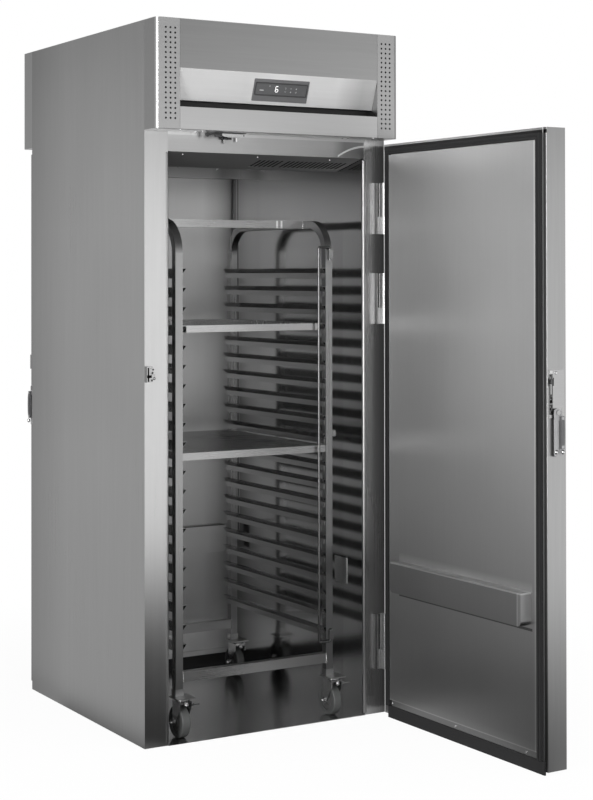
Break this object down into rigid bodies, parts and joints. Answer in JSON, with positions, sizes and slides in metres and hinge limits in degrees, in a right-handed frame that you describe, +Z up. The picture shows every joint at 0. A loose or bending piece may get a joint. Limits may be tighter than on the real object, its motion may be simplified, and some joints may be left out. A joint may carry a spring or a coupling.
{
  "type": "roll-in refrigerator",
  "caption": "Upright stainless pass-through cabinet with insulated doors front and rear, top-mounted cooling plant and a wheeled tray rack that rolls in at floor level",
  "frame": {"origin": "on the floor, under the middle of the cabinet's footprint", "axes": "+Z up, -Y out of the front door, +X to the right seen from the front"},
  "size_m": [0.9419, 1.8873, 2.23],
  "materials": {
    "brushed_panel": "brushed",
    "polished_sheet": "polished",
    "foam": "rigid foam",
    "dark_plastic": "moulded",
    "seal": "soft",
    "display_plastic": "smooth",
    "zinc": "plated",
    "fin_aluminium": "plain",
    "black_paint": "gloss",
    "copper": "drawn",
    "wheel_rubber": "smooth",
    "white_plastic": "moulded"
  },
  "bodies": {
    "cabinet": {"side_panel_left": "brushed_panel", "side_panel_right": "brushed_panel", "inner_walls": "polished_sheet", "foam_insulation": "foam", "door_headers": "brushed_panel", "floor_plate": "polished_sheet", "top_cover": "brushed_panel", "front_canopy": "brushed_panel", "rear_canopy": "brushed_panel", "fascia_panels": "brushed_panel", "display_unit": "display_plastic", "hinge_plates": "zinc", "latch_strikers": "polished_sheet", "door_switch": "dark_plastic", "evaporator_cover": "polished_sheet", "evaporator_coil": "fin_aluminium", "fan_motors": "fin_aluminium", "condenser_coil": "fin_aluminium", "compressor": "black_paint", "refrigerant_pipes": "copper", "electrical_box": "white_plastic", "mains_inlet_gland": "dark_plastic"},
    "evaporator_fan": {"evaporator_fan": "dark_plastic"},
    "condenser_fan": {"condenser_fan": "dark_plastic"},
    "door_switch_lever": {"door_switch_lever": "zinc"},
    "rack": {"rack_side_frame_left": "brushed_panel", "rack_side_frame_right": "brushed_panel", "rack_cross_bars": "brushed_panel", "rack_tray_runners": "brushed_panel", "rack_middle_shelf": "polished_sheet", "caster_plates": "zinc"},
    "tray": {"rack_sheet_tray": "polished_sheet"},
    "retaining_rod": {"tray_retaining_rod": "zinc"},
    "front_door": {"front_door_skin": "brushed_panel", "front_door_inner_panel": "polished_sheet", "front_door_seals": "seal", "front_door_bumper_bar": "polished_sheet", "front_door_hinge_leaves": "zinc", "front_door_latch_case": "polished_sheet"},
    "front_pull_lever": {"front_door_pull_lever": "polished_sheet"},
    "front_push_finger": {"front_door_push_finger": "dark_plastic"},
    "rear_door": {"rear_door_skin": "brushed_panel", "rear_door_inner_panel": "polished_sheet", "rear_door_seals": "seal", "rear_door_bumper_bar": "polished_sheet", "rear_door_hinge_leaves": "zinc", "rear_door_latch_case": "polished_sheet"},
    "rear_pull_lever": {"rear_door_pull_lever": "polished_sheet"},
    "rear_push_finger": {"rear_door_push_finger": "dark_plastic"},
    "fork_front_left": {"caster_fork_front_left": "zinc"},
    "wheel_front_left": {"caster_wheel_front_left": "wheel_rubber"},
    "fork_front_right": {"caster_fork_front_right": "zinc"},
    "wheel_front_right": {"caster_wheel_front_right": "wheel_rubber"},
    "fork_rear_left": {"caster_fork_rear_left": "zinc"},
    "wheel_rear_left": {"caster_wheel_rear_left": "wheel_rubber"},
    "fork_rear_right": {"caster_fork_rear_right": "zinc"},
    "wheel_rear_right": {"caster_wheel_rear_right": "wheel_rubber"},
    "pedal_front_left": {"brake_pedal_front_left": "zinc"},
    "pedal_front_right": {"brake_pedal_front_right": "zinc"}
  },
  "joints": [
    {"name": "front_door_hinge", "type": "hinge", "parent": "cabinet", "child": "front_door", "pos_m": [0.4264, -0.474, 1], "axis": [0, 0, -1], "range_deg": [-19, 91]},
    {"name": "rear_door_hinge", "type": "hinge", "parent": "cabinet", "child": "rear_door", "pos_m": [0.4264, 0.474, 1], "axis": [0, 0, 1], "range_deg": [-110, 0]},
    {"name": "front_lever_pivot", "type": "hinge", "parent": "front_door", "child": "front_pull_lever", "pos_m": [0.46114, -1.31842, 1.048], "axis": [-0.0175, 0.9998, 0], "range_deg": [-25, 0], "stiffness_Nm_per_rad": 0.8},
    {"name": "rear_lever_pivot", "type": "hinge", "parent": "rear_door", "child": "rear_pull_lever", "pos_m": [-0.4185, 0.494, 1.048], "axis": [-1, 0, 0], "range_deg": [-25, 0], "stiffness_Nm_per_rad": 0.8},
    {"name": "front_finger_slide", "type": "slide", "parent": "front_door", "child": "front_push_finger", "axis": [0.9998, 0.0175, 0], "range_m": [-0.006, 0]},
    {"name": "rear_finger_slide", "type": "slide", "parent": "rear_door", "child": "rear_push_finger", "axis": [0, 1, 0], "range_m": [-0.006, 0]},
    {"name": "evaporator_fan_spin", "type": "hinge", "parent": "cabinet", "child": "evaporator_fan", "pos_m": [-0.17, -0.14, 1.88], "axis": [0, 0, 1], "continuous": true},
    {"name": "condenser_fan_spin", "type": "hinge", "parent": "cabinet", "child": "condenser_fan", "pos_m": [-0.15, -0.354, 2.128], "axis": [0, 1, 0], "continuous": true},
    {"name": "door_switch_tilt", "type": "hinge", "parent": "cabinet", "child": "door_switch_lever", "pos_m": [-0.165, -0.457, 1.876], "axis": [1, 0, 0], "range_deg": [0, 12], "stiffness_Nm_per_rad": 0.02},
    {"name": "rack_roll", "type": "slide", "parent": "cabinet", "child": "rack", "axis": [0, 1, 0], "range_m": [-1, 0.1]},
    {"name": "tray_slide", "type": "slide", "parent": "rack", "child": "tray", "axis": [0, 1, 0], "range_m": [0, 0.08]},
    {"name": "retaining_rod_swing", "type": "hinge", "parent": "rack", "child": "retaining_rod", "pos_m": [0.2585, -0.401, 0.9], "axis": [0, 0, 1], "range_deg": [0, 170]},
    {"name": "swivel_front_left", "type": "hinge", "parent": "rack", "child": "fork_front_left", "pos_m": [-0.2895, -0.406, 0.12], "axis": [0, 0, 1], "continuous": true},
    {"name": "roll_front_left", "type": "hinge", "parent": "fork_front_left", "child": "wheel_front_left", "pos_m": [-0.2895, -0.388, 0.0523], "axis": [1, 0, 0], "continuous": true},
    {"name": "swivel_front_right", "type": "hinge", "parent": "rack", "child": "fork_front_right", "pos_m": [0.265, -0.406, 0.12], "axis": [0, 0, 1], "continuous": true},
    {"name": "roll_front_right", "type": "hinge", "parent": "fork_front_right", "child": "wheel_front_right", "pos_m": [0.265, -0.388, 0.0523], "axis": [1, 0, 0], "continuous": true},
    {"name": "swivel_rear_left", "type": "hinge", "parent": "rack", "child": "fork_rear_left", "pos_m": [-0.2895, 0.246, 0.12], "axis": [0, 0, 1], "continuous": true},
    {"name": "roll_rear_left", "type": "hinge", "parent": "fork_rear_left", "child": "wheel_rear_left", "pos_m": [-0.2895, 0.264, 0.0523], "axis": [1, 0, 0], "continuous": true},
    {"name": "swivel_rear_right", "type": "hinge", "parent": "rack", "child": "fork_rear_right", "pos_m": [0.265, 0.246, 0.12], "axis": [0, 0, 1], "continuous": true},
    {"name": "roll_rear_right", "type": "hinge", "parent": "fork_rear_right", "child": "wheel_rear_right", "pos_m": [0.265, 0.264, 0.0523], "axis": [1, 0, 0], "continuous": true},
    {"name": "pedal_press_front_left", "type": "hinge", "parent": "fork_front_left", "child": "pedal_front_left", "pos_m": [-0.2642, -0.415, 0.11], "axis": [0, 1, 0], "range_deg": [0, 12]},
    {"name": "pedal_press_front_right", "type": "hinge", "parent": "fork_front_right", "child": "pedal_front_right", "pos_m": [0.2903, -0.415, 0.11], "axis": [0, 1, 0], "range_deg": [0, 12]}
  ],
  "couplings": [
    {"joint": "front_finger_slide", "follows": "front_lever_pivot", "m_per_rad": 0.01375},
    {"joint": "rear_finger_slide", "follows": "rear_lever_pivot", "m_per_rad": 0.01375}
  ]
}
